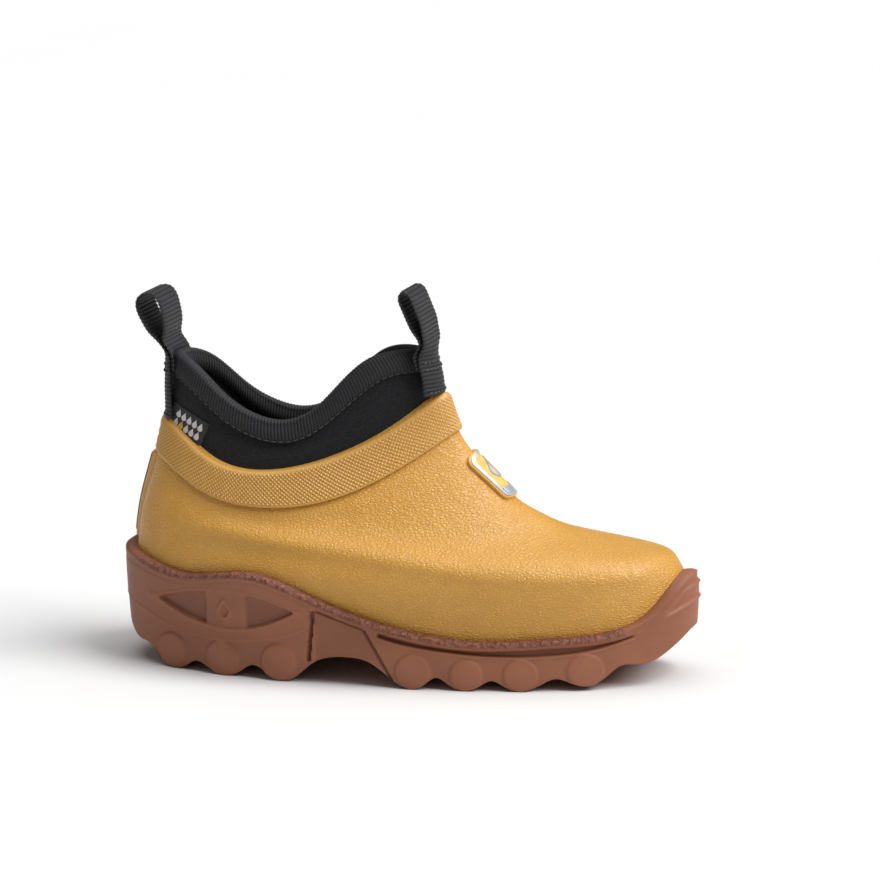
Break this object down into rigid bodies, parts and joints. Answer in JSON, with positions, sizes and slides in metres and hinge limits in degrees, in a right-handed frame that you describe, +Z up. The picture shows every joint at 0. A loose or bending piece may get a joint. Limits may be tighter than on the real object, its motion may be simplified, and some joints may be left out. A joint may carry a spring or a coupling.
{
  "type": "rubber rain boot",
  "caption": "Child's right-foot ankle rain boot: moulded rubber upper, lugged gum outsole, neoprene collar, sprung pull loops and a loose footbed.",
  "frame": {"origin": "on the ground, under the middle of the outsole's box", "axes": "+X from heel to toe, +Y to the inner side of the foot, +Z up"},
  "size_m": [0.2077, 0.0847, 0.1357],
  "materials": {
    "gum_rubber": "matt moulded gum rubber",
    "mustard_rubber": "satin rubber with fine leather grain",
    "mustard_thread": "thread",
    "reflective_tape": "reflective grey tape",
    "neoprene": "knit-faced neoprene",
    "knit_lining": "brushed knit",
    "grosgrain": "ribbed tape",
    "black_thread": "thread",
    "woven_label": "woven damask label",
    "white_thread": "woven thread",
    "badge_yellow": "soft moulded badge",
    "badge_silver": "silver grey print",
    "fibre_board": "pressed fibre board",
    "eva_foam": "closed-cell foam",
    "footbed_cloth": "brushed cloth",
    "webbing": "ribbed webbing"
  },
  "bodies": {
    "boot": {"outsole": "gum_rubber", "upper_shell": "mustard_rubber", "cuff_band": "mustard_rubber", "heel_rib": "mustard_rubber", "band_seam_stitches": "mustard_thread", "heel_reflector": "reflective_tape", "neoprene_collar": "neoprene", "sock_lining": "knit_lining", "top_binding": "grosgrain", "binding_stitches": "black_thread", "side_label": "woven_label", "label_stitches": "black_thread", "label_motif": "white_thread", "badge_base": "badge_yellow", "badge_border": "badge_silver", "badge_motif": "badge_silver", "insole_board": "fibre_board", "heel_loop_anchor": "webbing", "heel_loop_stitches": "black_thread", "front_loop_anchor": "webbing", "front_loop_stitches": "black_thread"},
    "heel_loop": {"heel_pull_loop": "webbing"},
    "front_loop": {"front_pull_loop": "webbing"},
    "footbed": {"footbed": "eva_foam", "footbed_cover": "footbed_cloth"}
  },
  "joints": [
    {"name": "heel_loop_fold", "type": "hinge", "parent": "boot", "child": "heel_loop", "pos_m": [-0.087, 0, 0.11065], "axis": [0, 1, 0], "range_deg": [-80, 65], "stiffness_Nm_per_rad": 0.004},
    {"name": "front_loop_fold", "type": "hinge", "parent": "boot", "child": "front_loop", "pos_m": [0.00898, 0, 0.11519], "axis": [0, 1, 0], "range_deg": [-45, 100], "stiffness_Nm_per_rad": 0.004},
    {"name": "footbed_peel", "type": "hinge", "parent": "boot", "child": "footbed", "pos_m": [0.0945, 0, 0.0172], "axis": [0, 1, 0], "range_deg": [0, 8]}
  ]
}
